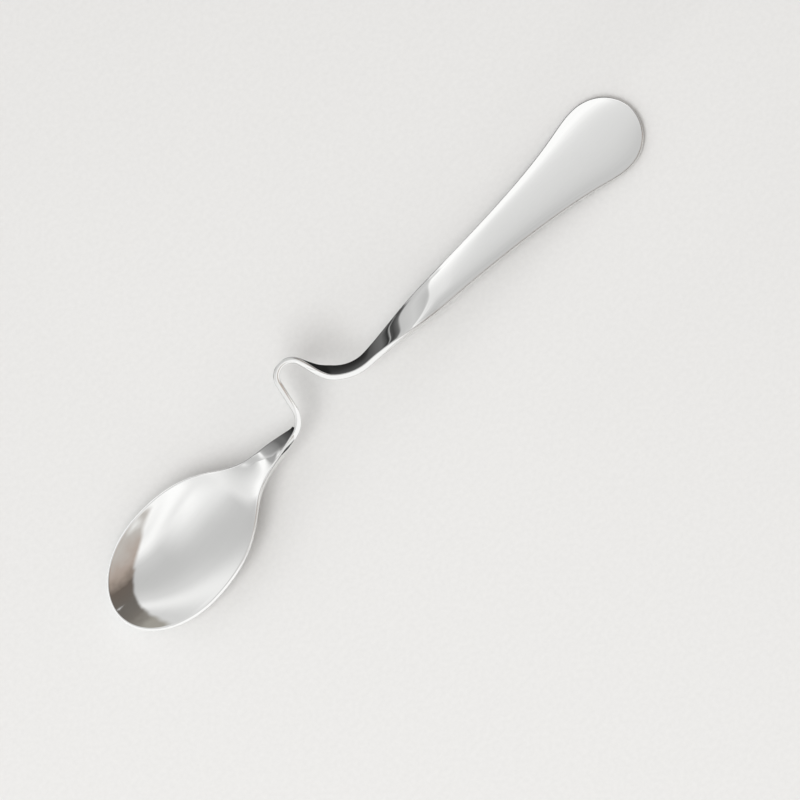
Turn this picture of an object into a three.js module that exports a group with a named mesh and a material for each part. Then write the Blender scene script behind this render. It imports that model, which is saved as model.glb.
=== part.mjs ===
// A coffee spoon pressed from one sheet of steel. Its neck strip is turned on edge and bent into a
// narrow V, which hangs on the rim of a cup. The spoon lies on a table: +X runs from the tip of the
// bowl to the end of the handle, +Y is the side the hook points to, +Z is up. Millimetres.
import * as THREE from 'three';

const { degToRad, lerp, smoothstep } = THREE.MathUtils;

// Bowl
const BOWL_WIDTH = 28.5;
const BOWL_TIP_LENGTH = 19.4; // tip to the widest place
const BOWL_HEEL_LENGTH = 32.3; // widest place to the narrowest place of the neck
const BOWL_BELLY_REACH = 20.6; // pull of the outline's curve at the widest place
const BOWL_NECK_REACH = 13.5; // pull of the outline's curve at the neck
const BOWL_DEPTH = 4.5; // rim to inner floor
const BOWL_HEEL_SWEEP = 1.8; // how gently the floor climbs to the neck
const BOWL_FLOOR_FLATNESS = 0.05; // how flat the floor is from side to side
const BOWL_RIM_RISE = 5.3; // the neck stands this much higher than the tip
const BOWL_WALL = 0.9;

// Neck strip and hook
const NECK_WIDTH = 5.9;
const NECK_LENGTH = 6.8; // narrowest place to the first bend of the hook
const NECK_TWIST_LEAD = 6.5; // the turn starts this far before the narrowest place
const NECK_TWIST_LENGTH = 18.3; // the strip turns on edge over this length
const STRIP_WIDTH = 6.5; // at the apex of the hook
const STRIP_THICKNESS = 1.45;
const HOOK_TWIST = degToRad(70); // how far the strip turns from flat towards standing on edge
const HOOK_HEIGHT = 13.2; // spoon's axis to the middle of the strip at the apex
const HOOK_APEX_RADIUS = 3.7;
const HOOK_BOWL_SPLAY = degToRad(12.8); // lean of the leg next to the bowl
const HOOK_HANDLE_SPLAY = degToRad(20); // lean of the leg next to the handle
const HOOK_BOWL_BEND = 4.7; // radius of the bend next to the bowl
const HOOK_HANDLE_BEND = 11.1; // radius of the bend next to the handle
const LEG_TWIST = degToRad(21.3); // the leg next to the handle turns back this far
const LEG_TWIST_LEAD = 3.1; // apex to the start of that turn
const LEG_TWIST_LENGTH = 3.9;

// Shank and handle
const SHANK_WIDTH = 6.2; // where it leaves the hook
const SHANK_LENGTH = 21.73; // hook to the place where the strip lies flat again
const SHANK_TWIST_LENGTH = 22.7; // the strip turns back to flat over this length
const HANDLE_LENGTH = 62.9; // shank to the round end
const HANDLE_WIDTH = 20.1;
const HANDLE_THICKNESS = 1.7;
const HANDLE_CROWN = 0.3; // the upper face's edges lie this much lower than its middle
const HANDLE_WAIST_REACH = 66.3; // pull of the outline's curve along the slender part
const HANDLE_WAIST_GAIN = 1.6; // half width gained over that pull
const HANDLE_END_REACH = 8.2; // pull of the outline's curve at the widest place
const HANDLE_BEND_IN = 54.4; // the handle bends down over this length
const HANDLE_BEND_OUT = 8; // and levels out over this length
const HANDLE_LEVEL_LENGTH = 6; // level length at the round end

// Edges
const EDGE_ROUND = 0.45;
const END_FLAT = 2.0; // width of the flat at the tip of the bowl and at the end of the handle

// Steps of the faceted surfaces
const ACROSS_STEPS = 12;
const TIP_STEPS = 10;
const HEEL_STEPS = 14;
const NECK_STEPS = 5;
const BEND_STEPS = 10;
const LEG_STEPS = 2;
const HANDLE_STEPS = 22;
const END_STEPS = 9;

// Places along the spoon, counted from the tip of the bowl
const bowlEnd = BOWL_TIP_LENGTH + BOWL_HEEL_LENGTH;
const hookStart = bowlEnd + NECK_LENGTH;
const apexX = hookStart + legReach(HOOK_BOWL_BEND, HOOK_BOWL_SPLAY);
const hookEnd = apexX + legReach(HOOK_HANDLE_BEND, HOOK_HANDLE_SPLAY);
const shankEnd = hookEnd + SHANK_LENGTH;
const handleEnd = shankEnd + HANDLE_LENGTH;
const handleWidest = handleEnd - HANDLE_WIDTH / 2;

// Length along the spoon from the start of a foot bend to the apex
function legReach(bendRadius, splay) {
  const drop = HOOK_HEIGHT - HOOK_APEX_RADIUS - bendRadius;
  const radii = HOOK_APEX_RADIUS + bendRadius;
  return radii / Math.cos(splay) + drop * Math.tan(splay);
}

// Climbs from 0 to 1 as a bent sheet does: a bend, a straight slope and a bend back to level
function ramp(x, start, bendIn, end, bendOut) {
  const run = end - start - (bendIn + bendOut) / 2;
  if (x <= start) return 0;
  if (x < start + bendIn) return (x - start) ** 2 / (2 * bendIn * run);
  if (x < end - bendOut) return (x - start - bendIn / 2) / run;
  if (x < end) return 1 - (end - x) ** 2 / (2 * bendOut * run);
  return 1;
}

function rimHeight(x) {
  return BOWL_RIM_RISE * ramp(x, 0, 0, bowlEnd, NECK_LENGTH);
}

function hollowDepth(x) {
  if (x >= bowlEnd) return 0;
  const along = x / bowlEnd;
  const deepest = 1 / (1 + BOWL_HEEL_SWEEP);
  return BOWL_DEPTH * (along / deepest) * ((1 - along) / (1 - deepest)) ** BOWL_HEEL_SWEEP;
}

function thickness(x) {
  const neck = smoothstep(x, bowlEnd - BOWL_NECK_REACH, bowlEnd);
  const shank = smoothstep(x, hookEnd, shankEnd);
  return lerp(lerp(BOWL_WALL, STRIP_THICKNESS, neck), HANDLE_THICKNESS, shank);
}

function twist(x) {
  const turnStart = bowlEnd - NECK_TWIST_LEAD;
  const turn = smoothstep(x, turnStart, turnStart + NECK_TWIST_LENGTH);
  const legStart = apexX + LEG_TWIST_LEAD;
  const leg = LEG_TWIST * smoothstep(x, legStart, legStart + LEG_TWIST_LENGTH);
  const shank = (HOOK_TWIST - LEG_TWIST) * smoothstep(x, shankEnd - SHANK_TWIST_LENGTH, shankEnd);
  return HOOK_TWIST * turn - leg - shank;
}

function stripHalfWidth(x) {
  const narrowed = lerp(NECK_WIDTH, STRIP_WIDTH, smoothstep(x, bowlEnd, apexX));
  return lerp(narrowed, SHANK_WIDTH, smoothstep(x, apexX, hookEnd)) / 2;
}

// Outlines: x along the spoon, y half the width
function bowlOutline() {
  const half = BOWL_WIDTH / 2;
  const start = Math.PI - Math.asin(END_FLAT / BOWL_WIDTH);
  const tip = new THREE.EllipseCurve(BOWL_TIP_LENGTH, 0, BOWL_TIP_LENGTH, half, start, Math.PI / 2, true);
  const heel = new THREE.CubicBezierCurve(
    new THREE.Vector2(BOWL_TIP_LENGTH, half),
    new THREE.Vector2(BOWL_TIP_LENGTH + BOWL_BELLY_REACH, half),
    new THREE.Vector2(bowlEnd - BOWL_NECK_REACH, NECK_WIDTH / 2),
    new THREE.Vector2(bowlEnd, NECK_WIDTH / 2),
  );
  return [...tip.getPoints(TIP_STEPS), ...heel.getPoints(HEEL_STEPS).slice(1)];
}

function handleOutline() {
  const half = HANDLE_WIDTH / 2;
  const waist = new THREE.CubicBezierCurve(
    new THREE.Vector2(hookEnd, SHANK_WIDTH / 2),
    new THREE.Vector2(hookEnd + HANDLE_WAIST_REACH, SHANK_WIDTH / 2 + HANDLE_WAIST_GAIN),
    new THREE.Vector2(handleWidest - HANDLE_END_REACH, half),
    new THREE.Vector2(handleWidest, half),
  );
  const stop = Math.asin(END_FLAT / HANDLE_WIDTH);
  const end = new THREE.EllipseCurve(handleWidest, 0, half, half, Math.PI / 2, stop, true);
  return [...waist.getSpacedPoints(HANDLE_STEPS), ...end.getPoints(END_STEPS).slice(1)];
}

// The hook's route in its own plane: x along the spoon, y out to the apex. Lines join the arcs.
function hookRoute() {
  const right = Math.PI / 2;
  const route = new THREE.Path();
  route.absarc(hookStart, HOOK_BOWL_BEND, HOOK_BOWL_BEND, -right, -HOOK_BOWL_SPLAY, false);
  const apexCentre = HOOK_HEIGHT - HOOK_APEX_RADIUS;
  const turnIn = Math.PI - HOOK_BOWL_SPLAY;
  route.absarc(apexX, apexCentre, HOOK_APEX_RADIUS, turnIn, HOOK_HANDLE_SPLAY, true);
  const turnOut = Math.PI + HOOK_HANDLE_SPLAY;
  route.absarc(hookEnd, HOOK_HANDLE_BEND, HOOK_HANDLE_BEND, turnOut, 3 * right, false);
  return route;
}

// One cross-section's place and shape. The strip's middle lies offset from the spoon's axis in the
// plane of the hook, and heading is the way it runs there, 0 along the spoon.
function station(x, halfWidth, offset = 0, heading = 0) {
  const outward = new THREE.Vector3(0, Math.sin(HOOK_TWIST), Math.cos(HOOK_TWIST));
  const onEdge = new THREE.Vector3(0, Math.cos(HOOK_TWIST), -Math.sin(HOOK_TWIST));
  const face = new THREE.Vector3(-Math.sin(heading), 0, 0).addScaledVector(outward, Math.cos(heading));
  const lean = HOOK_TWIST - twist(x);
  const across = onEdge.clone().multiplyScalar(Math.cos(lean)).addScaledVector(face, Math.sin(lean));
  const up = face.clone().multiplyScalar(Math.cos(lean)).addScaledVector(onEdge, -Math.sin(lean));
  const height = rimHeight(x) - handleFall * ramp(x, apexX, HANDLE_BEND_IN, levelStart, HANDLE_BEND_OUT);
  const middle = new THREE.Vector3(x, 0, height).addScaledVector(outward, offset);
  const crown = HANDLE_CROWN * smoothstep(x, hookEnd, shankEnd);
  return { middle, across, up, halfWidth, thickness: thickness(x), hollow: hollowDepth(x), crown };
}

// The handle falls until its level end lies on the table, as the bowl's floor does
const bowlPoints = bowlOutline();
const bowlFloor = Math.min(...bowlPoints.map(({ x }) => rimHeight(x) - hollowDepth(x) - thickness(x) / 2));
const handleFall = BOWL_RIM_RISE - HANDLE_THICKNESS / 2 - bowlFloor;
const levelStart = handleEnd - HANDLE_LEVEL_LENGTH;

function bowlStations() {
  return bowlPoints.map(({ x, y }) => station(x, y));
}

function neckStations() {
  const stations = [];
  for (let i = 0; i <= NECK_STEPS; i += 1) {
    const x = lerp(bowlEnd, hookStart, i / NECK_STEPS);
    stations.push(station(x, stripHalfWidth(x)));
  }
  return stations;
}

function hookStations() {
  const stations = [station(hookStart, stripHalfWidth(hookStart))];
  for (const curve of hookRoute().curves) {
    const steps = curve.isLineCurve ? LEG_STEPS : BEND_STEPS;
    for (let i = 1; i <= steps; i += 1) {
      const { x, y } = curve.getPoint(i / steps);
      stations.push(station(x, stripHalfWidth(x), y, curve.getTangent(i / steps).angle()));
    }
  }
  return stations;
}

function pointOn({ middle, across, up }, side, level) {
  return middle.clone().addScaledVector(across, side).addScaledVector(up, level);
}

// One closed ring of points: the upper face, an edge, the lower face back again, the other edge
function ring(place) {
  const face = place.halfWidth - Math.min(EDGE_ROUND, place.halfWidth / 2);
  const upper = [];
  const lower = [];
  for (let i = 0; i <= ACROSS_STEPS; i += 1) {
    const side = (2 * i) / ACROSS_STEPS - 1;
    const sag = place.hollow * (1 - side ** 2 * lerp(1, side ** 2, BOWL_FLOOR_FLATNESS));
    const fall = (place.crown * (side ** 2 + side ** 6)) / 2;
    upper.push(pointOn(place, side * face, place.thickness / 2 - sag - fall));
    lower.unshift(pointOn(place, side * face, -place.thickness / 2 - sag));
  }
  return [...upper, pointOn(place, place.halfWidth, 0), ...lower, pointOn(place, -place.halfWidth, 0)];
}

// Triangles that close one ring, laid as a ladder between its upper and lower face
function capTriangles(first, count) {
  const last = first + count - 1;
  const triangles = [[last, first, last - 1]];
  for (let i = 0; i < ACROSS_STEPS; i += 1) {
    const top = first + i;
    const bottom = last - 1 - i;
    triangles.push([top, top + 1, bottom], [bottom, top + 1, bottom - 1]);
  }
  const nose = first + ACROSS_STEPS + 1;
  triangles.push([nose - 1, nose, nose + 1]);
  return triangles;
}

function loft(stations) {
  const rings = stations.map(ring);
  const count = rings[0].length;
  const triangles = capTriangles(0, count);
  for (let k = 0; k + 1 < rings.length; k += 1) {
    for (let i = 0; i < count; i += 1) {
      const here = k * count + i;
      const next = k * count + ((i + 1) % count);
      triangles.push([here, here + count, next], [next, here + count, next + count]);
    }
  }
  const endCap = capTriangles((rings.length - 1) * count, count);
  triangles.push(...endCap.map((corners) => corners.reverse()));
  const geometry = new THREE.BufferGeometry().setFromPoints(rings.flat());
  geometry.setIndex(triangles.flat());
  geometry.computeVertexNormals();
  return geometry;
}

function polishedSteel() {
  return new THREE.MeshStandardMaterial({ color: 0xd6d7d6, roughness: 0.12, metalness: 1 });
}

const handleStations = handleOutline().map(({ x, y }) => station(x, y));
const flatFrom = handleStations.findIndex(({ middle }) => middle.x >= shankEnd);

const regions = {
  bowl: bowlStations(),
  neck: neckStations(),
  hook: hookStations(),
  shank: handleStations.slice(0, flatFrom + 1),
  handle: handleStations.slice(flatFrom),
};

const spoon = new THREE.Group();
for (const [name, stations] of Object.entries(regions)) {
  const mesh = new THREE.Mesh(loft(stations), polishedSteel());
  mesh.name = name;
  spoon.add(mesh);
}

// The origin is under the middle of the spoon, on the table
const box = new THREE.Box3().setFromObject(spoon);
const centre = box.getCenter(new THREE.Vector3());
spoon.position.set(-centre.x, -centre.y, -box.min.z);

export default spoon;
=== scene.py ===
# %% [markdown]
# # A polished coffee spoon that hangs on its cup
# The real spoon is one piece: a flat steel blank is cut out, its bowl is pressed, its neck is
# turned on edge and bent into a V, and everything is polished. This lesson makes it in the same
# order. First a flat blank is laid out as a grid of quads, then the grid is pressed, twisted and
# bent by formulas, and last it gets its thickness, its rounded edges and its finish.

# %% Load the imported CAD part
import math

import bpy
import numpy as np
from mathutils import Matrix, Vector


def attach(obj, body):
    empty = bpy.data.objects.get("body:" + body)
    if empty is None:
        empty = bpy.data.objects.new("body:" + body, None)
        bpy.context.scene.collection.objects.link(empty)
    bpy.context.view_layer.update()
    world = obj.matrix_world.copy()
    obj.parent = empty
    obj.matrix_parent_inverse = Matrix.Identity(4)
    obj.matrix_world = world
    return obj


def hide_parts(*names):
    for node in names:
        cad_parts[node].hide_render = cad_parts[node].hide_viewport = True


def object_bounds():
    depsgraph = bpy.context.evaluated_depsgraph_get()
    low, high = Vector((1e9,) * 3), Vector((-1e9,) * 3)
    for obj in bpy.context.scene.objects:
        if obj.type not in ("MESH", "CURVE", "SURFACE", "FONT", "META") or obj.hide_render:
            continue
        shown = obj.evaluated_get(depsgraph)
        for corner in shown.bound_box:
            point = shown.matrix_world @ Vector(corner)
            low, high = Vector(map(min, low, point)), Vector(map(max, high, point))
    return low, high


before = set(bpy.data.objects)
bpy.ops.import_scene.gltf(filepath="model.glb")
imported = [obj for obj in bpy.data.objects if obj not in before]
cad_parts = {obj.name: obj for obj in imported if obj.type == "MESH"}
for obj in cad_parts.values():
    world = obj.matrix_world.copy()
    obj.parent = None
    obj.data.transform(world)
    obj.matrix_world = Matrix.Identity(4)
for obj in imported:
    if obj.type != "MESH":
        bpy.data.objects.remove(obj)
cad_low, cad_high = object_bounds()
print("CAD box in mm:", [round(1000 * (h - l), 2) for l, h in zip(cad_low, cad_high)])

# %% [markdown]
# ## Sizes
# The sizes are those of the CAD part, so that the fine surface lies where the CAD solids are. They
# could be measured on the CAD meshes instead, but a named size says what it is for, and every place
# along the spoon is worked out from these.

# %% Sizes of the spoon
MM = 0.001
BOWL_WIDTH = 28.5 * MM
BOWL_TIP_LENGTH = 19.4 * MM
BOWL_HEEL_LENGTH = 32.3 * MM
BOWL_BELLY_REACH = 20.6 * MM
BOWL_NECK_REACH = 13.5 * MM
BOWL_DEPTH = 4.5 * MM
BOWL_HEEL_SWEEP = 1.8
BOWL_FLOOR_FLATNESS = 0.05
BOWL_RIM_RISE = 5.3 * MM
BOWL_WALL = 0.9 * MM

NECK_WIDTH = 5.9 * MM
NECK_LENGTH = 6.8 * MM
NECK_TWIST_LEAD = 6.5 * MM
NECK_TWIST_LENGTH = 18.3 * MM
STRIP_WIDTH = 6.5 * MM
STRIP_THICKNESS = 1.45 * MM
HOOK_TWIST = math.radians(70)
HOOK_HEIGHT = 13.2 * MM
HOOK_APEX_RADIUS = 3.7 * MM
HOOK_BOWL_SPLAY = math.radians(12.8)
HOOK_HANDLE_SPLAY = math.radians(20)
HOOK_BOWL_BEND = 4.7 * MM
HOOK_HANDLE_BEND = 11.1 * MM
LEG_TWIST = math.radians(21.3)
LEG_TWIST_LEAD = 3.1 * MM
LEG_TWIST_LENGTH = 3.9 * MM

SHANK_WIDTH = 6.2 * MM
SHANK_LENGTH = 21.73 * MM
SHANK_TWIST_LENGTH = 22.7 * MM
HANDLE_LENGTH = 62.9 * MM
HANDLE_WIDTH = 20.1 * MM
HANDLE_THICKNESS = 1.7 * MM
HANDLE_WAIST_REACH = 66.3 * MM
HANDLE_WAIST_GAIN = 1.6 * MM
HANDLE_END_REACH = 8.2 * MM
HANDLE_BEND_IN = 54.4 * MM
HANDLE_BEND_OUT = 8 * MM
HANDLE_LEVEL_LENGTH = 6 * MM
HANDLE_CROWN = 0.3 * MM

EDGE_ROUND = 0.45 * MM


def in_mm(length):
    return round(float(length / MM), 2)


print("bowl", in_mm(BOWL_WIDTH), "mm wide, handle", in_mm(HANDLE_WIDTH), "mm wide")

# %% [markdown]
# ## The route of the strip
# Seen in the plane of the hook, the strip runs straight, turns up into one leg of the V, round the
# apex, down the other leg and straight on again. It could be drawn as a curve, but a list of turns
# is easier to read: each turn has a length and the heading it ends with. Adding up the small steps
# along the heading gives the place along the spoon and the distance out to the hook's apex.

# %% Walk along the route
UP_HEADING = math.pi / 2 - HOOK_BOWL_SPLAY
DOWN_HEADING = HOOK_HANDLE_SPLAY - math.pi / 2
ROUTE_STEP = 0.02 * MM
APEX_TURN, LAST_HOOK_TURN = 4, 7


def leg_length(bend, splay):
    drop = HOOK_HEIGHT - HOOK_APEX_RADIUS - bend
    return (drop + (HOOK_APEX_RADIUS + bend) * math.sin(splay)) / math.cos(splay)


bowl_end = BOWL_TIP_LENGTH + BOWL_HEEL_LENGTH
hook_start = bowl_end + NECK_LENGTH
turns = [
    (0, 0),
    (hook_start, 0),
    (HOOK_BOWL_BEND * UP_HEADING, UP_HEADING),
    (leg_length(HOOK_BOWL_BEND, HOOK_BOWL_SPLAY), UP_HEADING),
    (HOOK_APEX_RADIUS * UP_HEADING, 0),
    (-HOOK_APEX_RADIUS * DOWN_HEADING, DOWN_HEADING),
    (leg_length(HOOK_HANDLE_BEND, HOOK_HANDLE_SPLAY), DOWN_HEADING),
    (-HOOK_HANDLE_BEND * DOWN_HEADING, 0),
    (SHANK_LENGTH + HANDLE_LENGTH, 0),
]
turn_ends = np.cumsum([length for length, _ in turns])
blank_length = turn_ends[-1]
walk = np.linspace(0, blank_length, int(blank_length / ROUTE_STEP))
walk_heading = np.interp(walk, turn_ends, [heading for _, heading in turns])
step_heading = (walk_heading[1:] + walk_heading[:-1]) / 2
stride = walk[1]
walk_x = np.concatenate([[0], np.cumsum(np.cos(step_heading) * stride)])
walk_out = np.concatenate([[0], np.cumsum(np.sin(step_heading) * stride)])
print("blank", in_mm(blank_length), "mm long, hook reaches", in_mm(walk_out.max()), "mm out")

# %% Places along the spoon
apex_x = np.interp(turn_ends[APEX_TURN], walk, walk_x)
hook_end_s = turn_ends[LAST_HOOK_TURN]
hook_end = np.interp(hook_end_s, walk, walk_x)
shank_end = hook_end + SHANK_LENGTH
handle_end = shank_end + HANDLE_LENGTH
handle_widest = handle_end - HANDLE_WIDTH / 2
print("apex at", in_mm(apex_x), "mm, spoon", in_mm(handle_end), "mm long")

# %% [markdown]
# ## The outline of the blank
# Half the width is a function of the place along the spoon. The tip of the bowl is half an ellipse
# and the end of the handle half a circle, and two Bezier curves lead from the widest places to the
# neck and to the shank. A traced outline would also do, but its points would show as dents in a
# mirror. The grid stops one edge radius inside the outline, because the rounded edge is added to it
# later.

# %% Half the width along the spoon
BEZIER_STEPS = 2000


def smooth(x, start, end):
    t = np.clip((x - start) / (end - start), 0, 1)
    return t * t * (3 - 2 * t)


def bezier(*corners):
    t = np.linspace(0, 1, BEZIER_STEPS)[:, None]
    a, b, c, d = (np.array(corner) for corner in corners)
    return (1 - t) ** 3 * a + 3 * t * (1 - t) ** 2 * b + 3 * t * t * (1 - t) * c + t**3 * d


bowl_half = BOWL_WIDTH / 2
handle_half = HANDLE_WIDTH / 2
heel_curve = bezier(
    (BOWL_TIP_LENGTH, bowl_half),
    (BOWL_TIP_LENGTH + BOWL_BELLY_REACH, bowl_half),
    (bowl_end - BOWL_NECK_REACH, NECK_WIDTH / 2),
    (bowl_end, NECK_WIDTH / 2),
)
waist_curve = bezier(
    (hook_end, SHANK_WIDTH / 2),
    (hook_end + HANDLE_WAIST_REACH, SHANK_WIDTH / 2 + HANDLE_WAIST_GAIN),
    (handle_widest - HANDLE_END_REACH, handle_half),
    (handle_widest, handle_half),
)


def half_width(x):
    tip_round = np.clip((BOWL_TIP_LENGTH - x) / (BOWL_TIP_LENGTH - EDGE_ROUND), 0, 1)
    end_round = np.clip((x - handle_widest) / (handle_half - EDGE_ROUND), 0, 1)
    strip = NECK_WIDTH + (STRIP_WIDTH - NECK_WIDTH) * smooth(x, bowl_end, apex_x)
    strip = (strip + (SHANK_WIDTH - strip) * smooth(x, apex_x, hook_end)) / 2
    half = np.where(x < bowl_end, np.interp(x, *heel_curve.T), strip)
    half = np.where(x > hook_end, np.interp(x, *waist_curve.T), half)
    return (half - EDGE_ROUND) * np.sqrt(1 - tip_round**2) * np.sqrt(1 - end_round**2)


for place_name, x in (("belly", BOWL_TIP_LENGTH), ("apex", apex_x), ("handle", handle_widest)):
    print("half width inside the edge,", place_name, in_mm(half_width(x)), "mm")

# %% [markdown]
# ## Pressing, twisting and bending
# The bowl of the real spoon is pressed hollow, and its neck is turned on edge. Modifiers could do
# that to the blank one after the other, but then each would move what the next one starts from. So
# each of these is a function of the place along the spoon: how high the rim runs, how deep the bowl
# is, how thick the sheet is and how far the strip is turned.

# %% Heights, depths and turns along the spoon
LEAST_BEND = 1e-9


def ramp(x, start, bend_in, end, bend_out):
    run = end - start - (bend_in + bend_out) / 2
    rise_in = (np.clip(x - start, 0, bend_in) ** 2) / (2 * max(bend_in, LEAST_BEND) * run)
    slope = np.clip(x - start - bend_in, 0, end - start - bend_in - bend_out) / run
    left = np.clip(x - (end - bend_out), 0, bend_out)
    return rise_in + slope + (left - left**2 / (2 * bend_out)) / run


def rim_height(x):
    return BOWL_RIM_RISE * ramp(x, 0, 0, bowl_end, NECK_LENGTH)


def hollow(x):
    along = np.clip((x - EDGE_ROUND) / (bowl_end - EDGE_ROUND), 0, 1)
    deepest = 1 / (1 + BOWL_HEEL_SWEEP)
    return BOWL_DEPTH * (along / deepest) * ((1 - along) / (1 - deepest)) ** BOWL_HEEL_SWEEP


def thickness(x):
    thicker = smooth(x, bowl_end - BOWL_NECK_REACH, bowl_end)
    strip = BOWL_WALL + (STRIP_THICKNESS - BOWL_WALL) * thicker
    return strip + (HANDLE_THICKNESS - strip) * smooth(x, hook_end, shank_end)


def twist(x):
    turn_start = bowl_end - NECK_TWIST_LEAD
    turn = smooth(x, turn_start, turn_start + NECK_TWIST_LENGTH)
    leg_start = apex_x + LEG_TWIST_LEAD
    leg = LEG_TWIST * smooth(x, leg_start, leg_start + LEG_TWIST_LENGTH)
    shank = (HOOK_TWIST - LEG_TWIST) * smooth(x, shank_end - SHANK_TWIST_LENGTH, shank_end)
    return HOOK_TWIST * turn - leg - shank


print("turned by", round(math.degrees(twist(apex_x))), "degrees at the apex")

# %% [markdown]
# ## How the spoon lies
# A spoon on a table touches it with the floor of its bowl and with the end of its handle. The
# handle's slope could be set by hand, but then it would miss the table after any change of the
# bowl. Here it falls by just as much as the bowl's floor needs.

# %% Let the handle fall to the table
BOWL_SAMPLES = 500

along_bowl = np.linspace(0, bowl_end, BOWL_SAMPLES)
bowl_floor = np.min(rim_height(along_bowl) - hollow(along_bowl) - thickness(along_bowl) / 2)
handle_fall = BOWL_RIM_RISE - HANDLE_THICKNESS / 2 - bowl_floor
print("bowl floor", in_mm(bowl_floor), "mm, handle falls", in_mm(handle_fall), "mm")


def axis_height(x):
    level_start = handle_end - HANDLE_LEVEL_LENGTH
    fall = ramp(x, apex_x, HANDLE_BEND_IN, level_start, HANDLE_BEND_OUT)
    return rim_height(x) - handle_fall * fall


# %% [markdown]
# ## The grid of the blank
# Rows run across the blank and columns along it. Rows that stayed straight would shrink to a point
# at both round ends, and a polished surface shows such a point at once. So the first and the last
# row are bent to follow the round ends themselves, and the bend fades out over the next rows.

# %% Rows and columns
COLUMNS = 48
END_CORNER = math.radians(50)
ROW_SPACING = (
    (0, 0.6 * MM),
    (bowl_end, 0.45 * MM),
    (hook_start, 0.28 * MM),
    (hook_end_s, 0.3 * MM),
    (hook_end_s + SHANK_LENGTH, 0.6 * MM),
    (blank_length, 0.8 * MM),
)
SPACING_SAMPLES = 4000
BULGE_FADE = 12 * MM

tip_corner = BOWL_TIP_LENGTH - (BOWL_TIP_LENGTH - EDGE_ROUND) * math.cos(END_CORNER)
tip_bulge = tip_corner - EDGE_ROUND
end_corner = blank_length - handle_half + (handle_half - EDGE_ROUND) * math.cos(END_CORNER)
end_bulge = blank_length - EDGE_ROUND - end_corner

fine = np.linspace(tip_corner, end_corner, SPACING_SAMPLES)
rows_so_far = np.cumsum(1 / np.interp(fine, *zip(*ROW_SPACING))) * (fine[1] - fine[0])
row_count = int(rows_so_far[-1])
row_s = np.interp(np.linspace(rows_so_far[0], rows_so_far[-1], row_count), rows_so_far, fine)

across = np.linspace(-1, 1, COLUMNS + 1)
round_shape = (np.sqrt(1 - (across * math.sin(END_CORNER)) ** 2) - math.cos(END_CORNER))
round_shape /= 1 - math.cos(END_CORNER)
to_tip = tip_bulge * (1 - smooth(row_s, tip_corner, BOWL_TIP_LENGTH + BULGE_FADE))
to_end = end_bulge * smooth(row_s, blank_length - handle_half - BULGE_FADE, end_corner)
grid_s = row_s[:, None] + (to_end - to_tip)[:, None] * round_shape[None, :]
row_x = np.interp(row_s, walk, walk_x)
grid_u = across[None, :] * half_width(row_x)[:, None]
print("grid of", row_count, "rows and", COLUMNS + 1, "columns")

# %% [markdown]
# ## From the blank to the middle surface
# Every point of the grid now goes to its place: along the route, out to the hook, turned by the
# twist and pressed down into the bowl. One formula for all points keeps the surface smooth from the
# bowl to the handle, where joined pieces would show seams.

# %% Press the blank
LEAST_WIDTH = 1e-7


def place(s, u):
    x = np.interp(s, walk, walk_x)
    out = np.interp(s, walk, walk_out)
    heading = np.interp(s, walk, walk_heading)
    zero = np.zeros_like(x)
    outward = np.array([0, math.sin(HOOK_TWIST), math.cos(HOOK_TWIST)])
    on_edge = np.array([0, math.cos(HOOK_TWIST), -math.sin(HOOK_TWIST)])
    face = np.stack([-np.sin(heading), zero, zero], -1) + np.cos(heading)[..., None] * outward
    lean = (HOOK_TWIST - twist(x))[..., None]
    sideways = np.cos(lean) * on_edge + np.sin(lean) * face
    up = np.cos(lean) * face - np.sin(lean) * on_edge
    side = np.clip(np.abs(u) / np.maximum(half_width(x), LEAST_WIDTH), 0, 1)
    bulge = side**2 * (1 - BOWL_FLOOR_FLATNESS + BOWL_FLOOR_FLATNESS * side**2)
    sag = hollow(x) * (1 - bulge)
    middle = np.stack([x, zero, axis_height(x)], -1) + out[..., None] * outward
    return middle + u[..., None] * sideways - sag[..., None] * up


grid = place(grid_s, grid_u)
grid[..., 0] += cad_low.x
grid[..., 2] -= bowl_floor
print("middle surface from", np.round(grid.min((0, 1)) / MM, 2), "mm")
print("to", np.round(grid.max((0, 1)) / MM, 2), "mm")

# %% Which way the surface faces
normals = np.cross(np.gradient(grid, axis=0), np.gradient(grid, axis=1))
normals /= np.linalg.norm(normals, axis=-1, keepdims=True)
for row, column in ((0, 0), (0, -1), (-1, 0), (-1, -1)):
    normals[row, column] = normals[(1, -2)[row], (1, -2)[column]]
furthest_lean = math.degrees(math.acos(normals[..., 2].min()))
print("the surface leans by up to", round(furthest_lean), "degrees")

# %% [markdown]
# ## Thickness
# The upper and the lower face of the sheet lie half the thickness above and below the middle
# surface. A solidify modifier could add them, but the sheet isn't equally thick everywhere. The
# handle also has a slight crown: its upper face falls towards the sides and the round end.

# %% Upper and lower face
LEAST_ROOM = 0.01 * MM

grid_x = np.interp(grid_s, walk, walk_x)
grid_thickness = thickness(grid_x)
into_end = np.maximum(grid_x - handle_widest, 0)
side_room = np.where(into_end > 0, handle_half - EDGE_ROUND, half_width(grid_x))
grid_side = np.minimum(np.hypot(grid_u, into_end) / np.maximum(side_room, LEAST_ROOM), 1)
crown_fall = HANDLE_CROWN * smooth(grid_x, hook_end, shank_end)
crown_fall = crown_fall * (grid_side**2 + grid_side**6) / 2
upper = grid + normals * (grid_thickness / 2 - crown_fall)[..., None]
lower = grid - normals * grid_thickness[..., None] / 2
print("sheet from", in_mm(grid_thickness.min()), "to", in_mm(grid_thickness.max()), "mm thick")

# %% [markdown]
# ## Rounded edges
# Polishing rounds the edges of the sheet, and these rounds catch the thin bright lines along the
# rim. A bevel modifier would have to find the edges first. Here a half round profile is carried
# once round the whole outline, which gives even quads.

# %% The outline and its edge
EDGE_STEPS = 12
EDGE_SQUARENESS = 0.6

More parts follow.
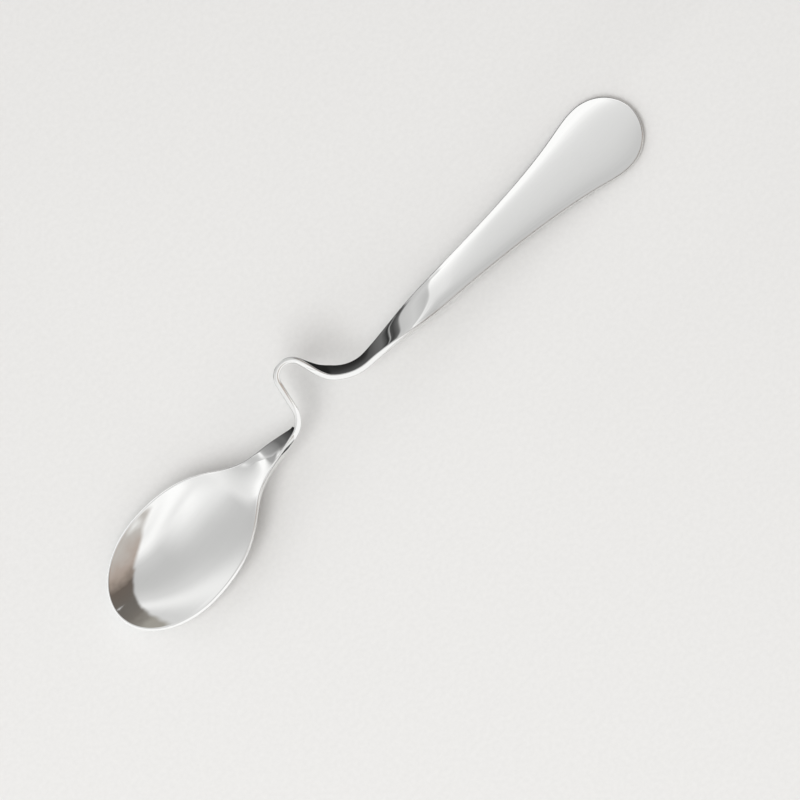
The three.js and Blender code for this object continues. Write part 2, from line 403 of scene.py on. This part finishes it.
last_row, last_column = row_count - 1, COLUMNS
loop = [(0, j) for j in range(COLUMNS)]
loop += [(k, last_column) for k in range(last_row)]
loop += [(last_row, j) for j in range(last_column, 0, -1)]
loop += [(k, 0) for k in range(last_row, 0, -1)]
loop_rows, loop_columns = np.array(loop).T

rim = grid[loop_rows, loop_columns]
rim_normals = normals[loop_rows, loop_columns]
rim_tangent = np.roll(rim, -1, axis=0) - np.roll(rim, 1, axis=0)
rim_outward = np.cross(rim_normals, rim_tangent)
rim_outward /= np.linalg.norm(rim_outward, axis=-1, keepdims=True)
rim_below = grid_thickness[loop_rows, loop_columns][:, None] / 2
rim_above = rim_below - crown_fall[loop_rows, loop_columns][:, None]

points = [upper.reshape(-1, 3), lower.reshape(-1, 3)]
for step in range(1, EDGE_STEPS):
    turn = math.pi * step / EDGE_STEPS
    level = math.copysign(abs(math.cos(turn)) ** EDGE_SQUARENESS, math.cos(turn))
    height = level * (rim_above if level > 0 else rim_below)
    reach = EDGE_ROUND * math.sin(turn) ** EDGE_SQUARENESS
    points.append(rim + rim_outward * reach + rim_normals * height)
vertices = np.concatenate(points)
print("outline of", len(loop), "points,", len(vertices), "points in all")

# %% Build the spoon's mesh
face_size = row_count * (COLUMNS + 1)
index = np.arange(face_size).reshape(row_count, COLUMNS + 1)
quad_corners = (index[:-1, :-1], index[1:, :-1], index[1:, 1:], index[:-1, 1:])
quads = np.stack(quad_corners, -1).reshape(-1, 4)
rim_index = index[loop_rows, loop_columns]
first_band = 2 * face_size + np.arange(len(loop))
bands = [rim_index]
bands += [first_band + step * len(loop) for step in range(EDGE_STEPS - 1)]
bands += [face_size + rim_index]
faces = [quads, face_size + quads[:, ::-1]]
for here, there in zip(bands, bands[1:]):
    faces.append(np.stack([here, np.roll(here, -1), np.roll(there, -1), there], -1))
faces = np.concatenate(faces)

spoon_mesh = bpy.data.meshes.new("spoon")
spoon_mesh.from_pydata(vertices.tolist(), [], faces.tolist())
spoon_mesh.validate()
spoon_mesh.shade_smooth()
spoon = bpy.data.objects.new("spoon", spoon_mesh)
bpy.context.scene.collection.objects.link(spoon)
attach(spoon, "root")
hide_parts("bowl", "neck", "hook", "shank", "handle")
print("spoon mesh:", len(spoon_mesh.vertices), "points,", len(spoon_mesh.polygons), "faces")

# %% [markdown]
# ## Helpers for node trees
# Materials and the world are trees of nodes. They could be wired by hand in the shader editor, but
# a script gives the same tree each time. One small function adds a node and sets its inputs, either
# to a value or to another node's output, and the others do the same for the nodes that come up most
# often: a sum, a soft or straight step, a mix of two colours and a colour ramp.

# %% Helpers for node trees
def add_node(tree, kind, inputs=(), **settings):
    node = tree.nodes.new("ShaderNode" + kind)
    for name, value in settings.items():
        setattr(node, name, value)
    for name, value in dict(inputs).items():
        if isinstance(value, bpy.types.NodeSocket):
            tree.links.new(value, node.inputs[name])
        else:
            node.inputs[name].default_value = value
    return node


def calc(tree, operation, *values):
    return add_node(tree, "Math", dict(enumerate(values)), operation=operation).outputs["Value"]


def soft_step(tree, value, low, high):
    limits = {"Value": value, "From Min": low, "From Max": high}
    return add_node(tree, "MapRange", limits, interpolation_type="SMOOTHSTEP").outputs["Result"]


def straight_step(tree, value, low, high, start=0.0, end=1.0):
    limits = {"Value": value, "From Min": low, "From Max": high, "To Min": start, "To Max": end}
    return add_node(tree, "MapRange", limits).outputs["Result"]


def blend(tree, factor, first, second):
    return add_node(tree, "Mix", {0: factor, 6: first, 7: second}, data_type="RGBA").outputs[2]


def add_ramp(tree, factor, stops, interpolation="LINEAR"):
    ramp_node = add_node(tree, "ValToRGB", {"Fac": factor})
    ramp_node.color_ramp.interpolation = interpolation
    elements = ramp_node.color_ramp.elements
    while len(elements) < len(stops):
        elements.new(1.0)
    for element, (position, colour) in zip(elements, stops):
        element.position = position
        element.color = (*colour, 1)
    return ramp_node.outputs["Color"]


def grey(level):
    return (level, level, level)


helpers = (add_node, calc, soft_step, straight_step, blend, add_ramp, grey)
print("helpers:", [helper.__name__ for helper in helpers])

# %% [markdown]
# ## Traces of polishing and use
# Polishing leaves a mirror, but not a perfect one: hairlines run along the spoon, faint smudges
# dull it in places, and the pressed sheet is a little wavy. Painted textures could show this, but
# they would need an unwrapped mesh. Noise that is stretched along the spoon needs none. Each trace
# is a node group of its own, so that it can be used again in another material.

# %% Node groups for the finish
HAIRLINE_STRETCH, HAIRLINE_DETAIL = (60, 2600, 2600), 3.0
SMUDGE_STRETCH, SMUDGE_DETAIL = (90, 160, 160), 4.0
SMUDGE_LIMITS = (0.42, 0.72)
WAVE_STRETCH, WAVE_DETAIL = (70, 130, 130), 1.0


def new_group(name, output):
    tree = bpy.data.node_groups.new(name, "ShaderNodeTree")
    tree.interface.new_socket(output, in_out="OUTPUT", socket_type="NodeSocketFloat")
    return tree, tree.nodes.new("NodeGroupOutput").inputs[output]


def stretched_noise(tree, stretch, detail):
    on_spoon = add_node(tree, "TexCoord").outputs["Object"]
    mapping = add_node(tree, "Mapping", {"Vector": on_spoon, "Scale": stretch})
    noise = {"Vector": mapping.outputs["Vector"], "Scale": 1.0, "Detail": detail}
    return add_node(tree, "TexNoise", noise).outputs["Fac"]


hairlines, hairlines_out = new_group("hairlines", "Lines")
hairlines.links.new(stretched_noise(hairlines, HAIRLINE_STRETCH, HAIRLINE_DETAIL), hairlines_out)

smudges, smudges_out = new_group("smudges", "Smudges")
smudge_noise = stretched_noise(smudges, SMUDGE_STRETCH, SMUDGE_DETAIL)
smudges.links.new(straight_step(smudges, smudge_noise, *SMUDGE_LIMITS), smudges_out)

waves, waves_out = new_group("waves", "Waves")
waves.links.new(stretched_noise(waves, WAVE_STRETCH, WAVE_DETAIL), waves_out)
print("node groups:", [group.name for group in (hairlines, smudges, waves)])

# %% [markdown]
# ## Polished steel
# Polished stainless steel is a neutral grey mirror. A glossy shader alone would do for the mirror,
# but here it is the Principled shader with full Metallic. The hairlines and
# smudges make its roughness uneven, and the waves bend its reflections a little.

# %% Steel
STEEL_TONES = [(0.3, (0.795, 0.795, 0.785)), (0.7, (0.805, 0.805, 0.795))]
LINE_LIMITS = (0.35, 0.75)
LINE_DULLNESS = (0.04, 0.055)
SMUDGE_DULLNESS = 0.03
WAVE_HEIGHT, WAVE_STRENGTH = 0.02 * MM, 1.0
LINE_HEIGHT, LINE_STRENGTH = 0.001 * MM, 0.1

steel = bpy.data.materials.new("polished_steel")
steel.use_nodes = True
tree = steel.node_tree
shader = tree.nodes["Principled BSDF"]
lines = add_node(tree, "Group", node_tree=hairlines).outputs["Lines"]
smudge = add_node(tree, "Group", node_tree=smudges).outputs["Smudges"]
wave = add_node(tree, "Group", node_tree=waves).outputs["Waves"]

tree.links.new(add_ramp(tree, lines, STEEL_TONES), shader.inputs["Base Color"])
shader.inputs["Metallic"].default_value = 1.0
line_dullness = straight_step(tree, lines, *LINE_LIMITS, *LINE_DULLNESS)
dullness = calc(tree, "MULTIPLY_ADD", smudge, SMUDGE_DULLNESS, line_dullness)
tree.links.new(dullness, shader.inputs["Roughness"])
wave_relief = {"Height": wave, "Strength": WAVE_STRENGTH, "Distance": WAVE_HEIGHT}
wavy = add_node(tree, "Bump", wave_relief).outputs["Normal"]
line_relief = {"Height": lines, "Strength": LINE_STRENGTH, "Distance": LINE_HEIGHT}
lined = add_node(tree, "Bump", {**line_relief, "Normal": wavy}).outputs["Normal"]
tree.links.new(lined, shader.inputs["Normal"])
spoon_mesh.materials.append(steel)
print("steel:", len(tree.nodes), "nodes")

# %% [markdown]
# ## Floor
# The spoon lies on a sheet of pale paper, large enough to fill the view and to be seen in the
# steel. A plain colour would look like plastic, so a fine noise gives the paper its fibres. The
# sheet lies a hair below the spoon, because two faces at the same height would flicker.

# %% Floor
FLOOR_SIZE = 4.0
FLOOR_DROP = 0.05 * MM
PAPER_TONES = [(0.3, (0.765, 0.765, 0.757)), (0.7, (0.795, 0.795, 0.787))]
PAPER_ROUGHNESS = 0.75
FIBRE_SCALE, FIBRE_DETAIL = 900.0, 4.0
FIBRE_HEIGHT, FIBRE_STRENGTH = 0.05 * MM, 0.15

half_floor = FLOOR_SIZE / 2
floor_corners = [(half_floor * x, half_floor * y, -FLOOR_DROP)
                 for x, y in ((-1, -1), (1, -1), (1, 1), (-1, 1))]
floor_mesh = bpy.data.meshes.new("floor")
floor_mesh.from_pydata(floor_corners, [], [(0, 1, 2, 3)])
floor = bpy.data.objects.new("floor", floor_mesh)
bpy.context.scene.collection.objects.link(floor)

paper = bpy.data.materials.new("pale_paper")
paper.use_nodes = True
tree = paper.node_tree
paper_shader = tree.nodes["Principled BSDF"]
on_paper = add_node(tree, "TexCoord").outputs["Object"]
fibre_noise = {"Vector": on_paper, "Scale": FIBRE_SCALE, "Detail": FIBRE_DETAIL}
fibres = add_node(tree, "TexNoise", fibre_noise).outputs["Fac"]
tree.links.new(add_ramp(tree, fibres, PAPER_TONES), paper_shader.inputs["Base Color"])
paper_shader.inputs["Roughness"].default_value = PAPER_ROUGHNESS
fibre_relief = {"Height": fibres, "Strength": FIBRE_STRENGTH, "Distance": FIBRE_HEIGHT}
fibrous = add_node(tree, "Bump", fibre_relief).outputs["Normal"]
tree.links.new(fibrous, paper_shader.inputs["Normal"])
floor_mesh.materials.append(paper)
print("floor", FLOOR_SIZE, "m wide")

# %% [markdown]
# ## The tent of cloth
# Polished steel is photographed in a white tent, which lights it from all sides and is what it
# mirrors. Right above, where the cloth is double, it is greyer, and the bowl and the handle show
# that part. The tent could be a mesh with a material, but the world is simpler: its colour depends
# only on the direction of the ray. One ramp runs across the tent and turns a little towards the
# handle, a second one takes over on the bowl's side, and a plain panel closes that end.

# %% The cloth of the tent
TENT_STRENGTH = 1.25
TENT_CLOTH = [
    (-1.0, 0.10), (-0.96, 0.12), (-0.88, 1.05), (-0.62, 1.22), (-0.54, 1.18), (-0.46, 1.07),
    (-0.39, 1.17), (-0.33, 1.11), (-0.26, 0.93), (-0.18, 0.77), (-0.08, 0.71), (0.10, 0.66),
    (0.35, 0.69), (0.50, 0.77), (0.60, 0.84), (0.66, 0.95), (0.72, 1.04), (0.78, 1.01),
    (0.84, 0.90), (0.92, 0.80),
]
HEEL_CLOTH = [
    (-0.60, 1.24), (-0.47, 1.22), (-0.37, 1.06), (-0.28, 1.18), (-0.20, 1.17), (-0.10, 1.10),
    (0.0, 0.99), (0.10, 0.91), (0.24, 0.78), (0.40, 0.71), (0.55, 0.68), (0.75, 0.66),
    (0.90, 0.63),
]
HEEL_PANEL = 1.0
CLOTH_ACROSS = 0.85
CLOTH_TURN, CLOTH_TURN_BY_X, CLOTH_TURN_BY_Y = 0.35, 0.80, 0.30
HEEL_BLEND = (-0.15, -0.55)
PANEL_BLEND = (-0.50, -0.68)

world = bpy.data.worlds.new("studio")
bpy.context.scene.world = world
world.use_nodes = True
sky = world.node_tree


def sky_ramp(value, stops, interpolation="LINEAR"):
    halved = calc(sky, "MULTIPLY_ADD", value, 0.5, 0.5)
    colours = []
    for direction, colour in stops:
        colours.append(((direction + 1) / 2, tuple(c / TENT_STRENGTH for c in colour)))
    return add_ramp(sky, halved, colours, interpolation)


def cloth_ramp(value, stops):
    return sky_ramp(value, [(direction, grey(level)) for direction, level in stops], "CARDINAL")


ray = add_node(sky, "TexCoord").outputs["Generated"]
ray_x, ray_y, _ = add_node(sky, "SeparateXYZ", {"Vector": ray}).outputs
cloth_turn = calc(sky, "MULTIPLY_ADD", ray_y, CLOTH_TURN_BY_Y, CLOTH_TURN)
cloth_turn = calc(sky, "MULTIPLY_ADD", ray_x, CLOTH_TURN_BY_X, cloth_turn)
across_tent = calc(sky, "MULTIPLY_ADD", ray_y, CLOTH_ACROSS,
                   calc(sky, "MULTIPLY", ray_x, cloth_turn))
tent = blend(sky, soft_step(sky, ray_x, *HEEL_BLEND),
             cloth_ramp(across_tent, TENT_CLOTH), cloth_ramp(ray_y, HEEL_CLOTH))
panel = (*grey(HEEL_PANEL / TENT_STRENGTH), 1)
tent = blend(sky, soft_step(sky, ray_x, *PANEL_BLEND), tent, panel)
print("tent:", len(TENT_CLOTH), "and", len(HEEL_CLOTH), "shades of cloth")

# %% [markdown]
# ## The dim room behind the flap
# A flap of the tent is open on the handle's side, and the wall at the tip of the bowl mirrors the
# dim, brownish room behind it. An image of a room could stand there, but so little of it shows that
# a ramp with a slow noise is enough. The noise also makes the edge of the flap uneven.

# %% The flap and the room
FLAP = (0.625, -0.78, 0)
FLAP_EDGE = 0.365
TENT_SIDE = (-0.30, 0.39)
TENT_SPREAD = (0.74, 0.863)
SIDE_START = 0.2
ROOM = [
    (-0.96, (0.10, 0.10, 0.10)), (-0.88, (1.05, 1.05, 1.05)), (-0.78, (1.0, 1.0, 0.99)),
    (-0.71, (0.64, 0.61, 0.58)), (-0.45, (0.53, 0.45, 0.40)), (-0.32, (0.43, 0.36, 0.31)),
    (-0.15, (0.17, 0.14, 0.12)), (0.30, (0.18, 0.165, 0.15)), (0.55, (0.22, 0.20, 0.18)),
    (0.85, (0.42, 0.40, 0.36)),
]
ROOM_SCALE, ROOM_DETAIL = 4.0, 2.0
ROOM_UNEVENNESS, FLAP_UNEVENNESS = 0.35, 0.08
FLAP_BLEND = (-0.05, 0.03)

room_noise = {"Vector": ray, "Scale": ROOM_SCALE, "Detail": ROOM_DETAIL}
unevenness = calc(sky, "SUBTRACT", add_node(sky, "TexNoise", room_noise).outputs["Fac"], 0.5)
room = sky_ramp(calc(sky, "MULTIPLY_ADD", unevenness, ROOM_UNEVENNESS, ray_y), ROOM)

towards_flap = add_node(sky, "VectorMath", {0: ray, 1: FLAP}, operation="DOT_PRODUCT")
past_flap = calc(sky, "SUBTRACT", towards_flap.outputs["Value"], FLAP_EDGE)
side_squares = []
for ray_part, middle, spread in zip((ray_x, ray_y), TENT_SIDE, TENT_SPREAD):
    from_middle = calc(sky, "DIVIDE", calc(sky, "SUBTRACT", ray_part, middle), spread)
    side_squares.append(calc(sky, "MULTIPLY", from_middle, from_middle))
from_side = calc(sky, "SQRT", calc(sky, "ADD", *side_squares))
past_side = calc(sky, "MINIMUM", calc(sky, "SUBTRACT", from_side, 1.0),
                 calc(sky, "SUBTRACT", ray_x, SIDE_START))
outside = calc(sky, "MULTIPLY_ADD", unevenness, FLAP_UNEVENNESS,
               calc(sky, "MAXIMUM", past_flap, past_side))
light = blend(sky, soft_step(sky, outside, *FLAP_BLEND), tent, room)
sky.links.new(light, sky.nodes["Background"].inputs["Color"])
sky.nodes["Background"].inputs["Strength"].default_value = TENT_STRENGTH
print("world:", len(sky.nodes), "nodes")

# %% [markdown]
# ## Paint for the reflection cards
# A mirror shows what stands around it, so a photographer puts cards beside it. A card here is a
# mesh that glows in greys of its own and is clear where it should fade away. It is a painted
# reflection: its bright greys are painted highlights in the steel and its dark greys painted shade.
# It could be lit by lamps, but then every lamp would change it. Only the steel sees the cards: they
# are hidden from the camera, and they neither light the floor nor shade it.

# %% Helpers for the cards
def start_paint(name):
    paint = bpy.data.materials.new(name)
    paint.use_nodes = True
    tree = paint.node_tree
    tree.nodes.remove(tree.nodes["Principled BSDF"])
    on_card = add_node(tree, "TexCoord").outputs["Object"]
    return paint, tree, add_node(tree, "SeparateXYZ", {"Vector": on_card}).outputs


def finish_paint(tree, colour, cover):
    glow = add_node(tree, "Emission", {"Color": colour, "Strength": 1.0}).outputs["Emission"]
    clear = add_node(tree, "BsdfTransparent").outputs["BSDF"]
    covered = add_node(tree, "MixShader", {0: cover, 1: clear, 2: glow}).outputs["Shader"]
    tree.links.new(covered, tree.nodes["Material Output"].inputs["Surface"])


def stand_reflection_card(name, corners, faces, paint):
    mesh = bpy.data.meshes.new(name)
    mesh.from_pydata(corners, [], faces)
    mesh.materials.append(paint)
    card = bpy.data.objects.new(name, mesh)
    bpy.context.scene.collection.objects.link(card)
    # The card glows only in the steel's reflections: a painted reflection that no lamp casts.
    card.visible_camera = card.visible_diffuse = card.visible_shadow = False
    return card


print("helpers:", [helper.__name__ for helper in (start_paint, finish_paint, stand_reflection_card)])

# %% [markdown]
# ## Cards along the spoon
# Five cards stand along the far side and paint reflections into the steel: one for the neck, dark
# below and bright at its top, one that is dark below and grey above for the turned shank, and three
# that paint the bright far side of the handle, its root and the tongue of light at the root. Two
# more
# stand on the near side: a dark one that paints a thin line of shade along the handle's edge, and a
# white one that paints a highlight on the edge of the hook. Each has a foot that lies just above
# the floor. Their dark greys are painted shade and their bright greys painted highlights. Lamps
# could give such patches too, but a card with a list of greys is easier to tune.

# %% The greys of the cards
# Each card: where it starts and ends along the spoon, how far it fades in and out there, and its
# stops as height up the card, grey and cover. Lengths are in millimetres.
CARD_PLACE = 24 * MM
CARD_STEP = 0.1 * MM
# The dark greys in these stops are painted shade in the steel's reflections, the bright ones
# painted highlights.
FAR_REFLECTION_CARDS = {
    "neck_reflection_card": (-42, -20, 10, 0, [
        (-17, 0.02, 1), (-13, 0.08, 1), (-3, 0.16, 1), (6, 0.17, 1), (10, 0.27, 1),
        (17, 0.37, 1), (25, 0.45, 1), (30, 0.60, 1), (34, 1.2, 0.85), (38, 1.2, 0.7),
        (48, 0.9, 0),
    ]),
    "shank_reflection_card": (-12, 29.5, 0, 0, [
        (-9, 0.02, 1), (-7, 0.045, 1), (-5.5, 0.10, 1), (4, 0.18, 1), (6.5, 0.10, 1),
        (8.5, 0.03, 1), (9.3, 0.08, 1), (10, 0.65, 1), (10.7, 0.08, 1), (13, 0.07, 1),
        (17.5, 0.18, 1), (19.5, 0.66, 1), (36, 0.74, 1), (58, 0.62, 1), (85, 0.72, 1),
        (100, 0.8, 0),
    ]),
    "handle_reflection_card": (29.6, 140, 0, 20, [
        (-4, 0.10, 1), (8, 0.10, 1), (11.5, 1.20, 1), (22, 1.22, 1), (28, 0.98, 1),
        (32, 0.91, 1), (36, 0.88, 1), (40, 0.86, 1), (46, 0.83, 1), (54, 0.78, 1),
        (64, 0.73, 1), (80, 0.69, 1), (106, 0.70, 1), (115, 0.70, 0),
    ]),
    "root_reflection_card": (29.5, 52, 0, 20, [
        (12, 1.2, 0), (20, 1.25, 1), (30, 1.2, 0.7), (42, 1.1, 0.2), (60, 1.0, 0),
    ]),
    "root_highlight_tongue": (25, 38, 1.5, 6, [
        (18, 1.2, 0), (23, 1.24, 1), (30, 1.14, 1), (38, 0.99, 1), (48, 0.92, 1), (58, 0.9, 0),
    ]),
}
# A dark card on the near side that paints a thin line of shade into the handle's edge.
EDGE_SHADE_CARD_PLACE = -40 * MM
EDGE_SHADE_CARD = (10, 120, 12, 20, [(-1, 0.06, 0), (0, 0.06, 1), (24, 0.06, 1), (27, 0.06, 0)])
# A white card on the near side that paints a highlight on the edge of the hook.
HOOK_HIGHLIGHT_CARD_PLACE = -10 * MM
HOOK_HIGHLIGHT_CARD = (-26, 20, 0, 12, [(8, 1.1, 0), (11, 1.15, 1), (42, 1.15, 1), (50, 1.1, 0)])
print("cards:", [*FAR_REFLECTION_CARDS, "edge_shade_card", "hook_highlight_card"])

# %% Stand the cards up
CARD_FOOT = 18 * MM
CARD_LIFT = 0.3 * MM
CARD_HEIGHT = 135 * MM
CARD_LEAN = {"handle_reflection_card": 20 * MM, "root_reflection_card": 20 * MM, "root_highlight_tongue": 20 * MM}


def add_reflection_card(name, stand, start, end, fade_in, fade_out, stops):
    paint, tree, on_card = start_paint(name)
    low, high = stand - CARD_FOOT, stand + CARD_HEIGHT
    up_card = calc(tree, "ADD", on_card["Y"], on_card["Z"])
    up_card = straight_step(tree, up_card, low, high)
    greys = [((CARD_FOOT + up * MM) / (high - low), grey(level)) for up, level, _ in stops]
    ramp_node = add_ramp(tree, up_card, greys).node
    for element, (_, _, shown) in zip(ramp_node.color_ramp.elements, stops):
        element.color[3] = shown
    cover = ramp_node.outputs["Alpha"]
    for edge, fade in ((start, fade_in), (end, -fade_out)):
        if fade:
            shown = soft_step(tree, on_card["X"], edge * MM, (edge + fade) * MM)
            cover = calc(tree, "MULTIPLY", cover, shown)
    finish_paint(tree, ramp_node.outputs["Color"], cover)
    lean = CARD_LEAN.get(name, 0)
    levels = ((low, CARD_LIFT), (stand, CARD_LIFT), (stand - lean, CARD_HEIGHT))
    corners = [(x * MM, y, z) for y, z in levels for x in (start, end)]
    card = stand_reflection_card(name, corners, [(0, 1, 3, 2), (2, 3, 5, 4)], paint)
    print(name, "from", start, "to", end, "mm along the spoon")


for order, (name, settings) in enumerate(FAR_REFLECTION_CARDS.items()):
    add_reflection_card(name, CARD_PLACE - order * CARD_STEP, *settings)
add_reflection_card("edge_shade_card", EDGE_SHADE_CARD_PLACE, *EDGE_SHADE_CARD)
add_reflection_card("hook_highlight_card", HOOK_HIGHLIGHT_CARD_PLACE, *HOOK_HIGHLIGHT_CARD)

# %% [markdown]
# ## A card across the spoon
# The steep heel of the bowl, just before the neck, mirrors what stands across the spoon. This card
# paints a reflection there: a bright patch, a painted highlight with a slanting edge, and a darker
# wedge of painted shade beside it. It glows on one side only, so that the rest of the bowl doesn't
# show its back. The tent could carry these patches too, but the neck turns so quickly there that a
# near card is easier to place.

# %% Heel card
HEEL_REFLECTION_CARD_PLACE = -48 * MM
HEEL_CORNERS = ((-14, 8), (85, 8), (85, 75), (-14, 75))
HEEL_SLANT = -0.5
HEEL_REACH = 20
# Greys of the bright patch, a painted highlight, and below them the grey of the wedge of painted
# shade.
HEEL_LEVELS = [
    (-18, 0.70), (-10, 0.745), (-7, 0.82), (-4, 0.93), (-2, 1.0), (0, 1.12), (2, 1.21), (15, 1.22),
]
HEEL_WEDGE_SHADE = 0.45
WEDGE_SIDE, WEDGE_HEIGHT = (-13, 1), (20, 34)
HEEL_FADE_SIDE, HEEL_FADE_HEIGHT = (-18, -10), (8.5, 13)


def step_mm(tree, value, limits):
    return soft_step(tree, value, *(limit * MM for limit in limits))


heel_reflection_paint, tree, on_card = start_paint("heel_reflection_card")
slant = calc(tree, "MULTIPLY_ADD", on_card["Z"], HEEL_SLANT, on_card["Y"])
along = straight_step(tree, slant, -HEEL_REACH * MM, HEEL_REACH * MM)
heel_greys = [((at / HEEL_REACH + 1) / 2, grey(level)) for at, level in HEEL_LEVELS]
wedge_side = step_mm(tree, calc(tree, "SUBTRACT", on_card["Y"], on_card["Z"]), WEDGE_SIDE)
wedge = calc(tree, "MULTIPLY", wedge_side, step_mm(tree, on_card["Z"], WEDGE_HEIGHT))
heel_reflection_tone = blend(tree, wedge, add_ramp(tree, along, heel_greys), (*grey(HEEL_WEDGE_SHADE), 1))
front = calc(tree, "SUBTRACT", 1.0, add_node(tree, "NewGeometry").outputs["Backfacing"])
cover = calc(tree, "MULTIPLY", front, step_mm(tree, slant, HEEL_FADE_SIDE))
cover = calc(tree, "MULTIPLY", cover, step_mm(tree, on_card["Z"], HEEL_FADE_HEIGHT))
finish_paint(tree, heel_reflection_tone, cover)
heel_points = [(HEEL_REFLECTION_CARD_PLACE, y * MM, z * MM) for y, z in HEEL_CORNERS]
heel_reflection_card = stand_reflection_card("heel_reflection_card", heel_points, [(0, 1, 2, 3)], heel_reflection_paint)
print("heel card faces", [round(c, 1) for c in heel_reflection_card.data.polygons[0].normal])

# %% [markdown]
# ## A low ring close around the bowl
# The rounded rim of the bowl shows a thin white line all round. It would mirror the floor and the
# dim room in places, so a low glowing ring follows the rim a few millimetres outside it and paints
# that white line into the rim as a painted highlight. A cylinder would be too far away at the
# narrow parts, so the ring takes its line from the outline itself, and it fades out towards the
# neck.

# %% Rim ring
RING_GAP, RING_ABOVE, RING_BELOW = 2.5 * MM, 2.0 * MM, 3.5 * MM
RING_FADE = (-46 * MM, -58 * MM)
# The glow of the ring, a painted highlight along the rim.
RING_HIGHLIGHT_LEVEL = 1.2

round_bowl = np.flatnonzero(rim[:, 0] < RING_FADE[0])
near_half = round_bowl > len(rim) / 2
round_bowl = np.concatenate([round_bowl[near_half], round_bowl[~near_half]])
ring_out = rim_outward[round_bowl] * (1, 1, 0)
ring_out /= np.linalg.norm(ring_out, axis=-1, keepdims=True)
ring_line = rim[round_bowl] + ring_out * RING_GAP
ring_points = np.concatenate([ring_line - (0, 0, RING_BELOW), ring_line + (0, 0, RING_ABOVE)])
ring_count = len(ring_line)
ring_faces = [(k, k + 1, k + 1 + ring_count, k + ring_count) for k in range(ring_count - 1)]

ring_highlight_paint, tree, on_card = start_paint("rim_highlight_ring")
finish_paint(tree, (*grey(RING_HIGHLIGHT_LEVEL), 1), soft_step(tree, on_card["X"], *RING_FADE))
rim_highlight_ring = stand_reflection_card("rim_highlight_ring", ring_points.tolist(), ring_faces, ring_highlight_paint)
print("ring of", ring_count, "points")

# %% [markdown]
# ## A lamp for the shadow
# The tent alone gives hardly any shadow. One large soft lamp above lifts the pale floor and lets
# the spoon throw a soft one. A sun lamp would do that too, but its shadow has a harder edge. The
# steel doesn't show the lamp, because in a mirror it would be a round spot.

# %% Lamp
LAMP_SIZE = 0.9
LAMP_POWER = 9.0
LAMP_PLACE = (-0.65, -0.45, 1.15)

lamp_data = bpy.data.lights.new("soft_lamp", "AREA")
lamp_data.shape = "DISK"
lamp_data.size = LAMP_SIZE
lamp_data.energy = LAMP_POWER
lamp = bpy.data.objects.new("soft_lamp", lamp_data)
bpy.context.scene.collection.objects.link(lamp)
lamp.location = LAMP_PLACE
lamp.rotation_euler = (-lamp.location).to_track_quat("-Z", "Y").to_euler()
lamp.visible_glossy = False
print("lamp", round(lamp.location.length, 2), "m from the spoon")

# %% [markdown]
# ## Camera
# The spoon is seen from high up, and the picture is turned so that it lies across the frame from
# corner to corner. The spoon could be turned instead, but it has to stay in the CAD frame. A long
# lens from far away keeps the outline nearly free of perspective.

# %% Camera
PHOTO_PIXELS = 800
PIXELS_PER_METRE = 4300.4
VIEW_ELEVATION = math.radians(70)
VIEW_ROLL = math.radians(45.16)
VIEW_CENTRE = Vector((-0.00209, -0.00984, 0))
VIEW_DISTANCE = 4.0
SENSOR_WIDTH = 36
CLIP_END = 20

back = Vector((0, -math.cos(VIEW_ELEVATION), math.sin(VIEW_ELEVATION)))
camera_data = bpy.data.cameras.new("camera")
camera_data.sensor_width = SENSOR_WIDTH
camera_data.lens = SENSOR_WIDTH * VIEW_DISTANCE / (PHOTO_PIXELS / PIXELS_PER_METRE)
camera_data.clip_end = CLIP_END
camera = bpy.data.objects.new("camera", camera_data)
bpy.context.scene.collection.objects.link(camera)
camera_place = Matrix.Translation(VIEW_CENTRE + back * VIEW_DISTANCE)
level_turn = (-back).to_track_quat("-Z", "Y").to_matrix().to_4x4()
camera.matrix_world = camera_place @ level_turn @ Matrix.Rotation(-VIEW_ROLL, 4, "Z")
bpy.context.scene.camera = camera
bpy.context.scene.view_settings.view_transform = "Standard"
print("lens", round(camera_data.lens), "mm")
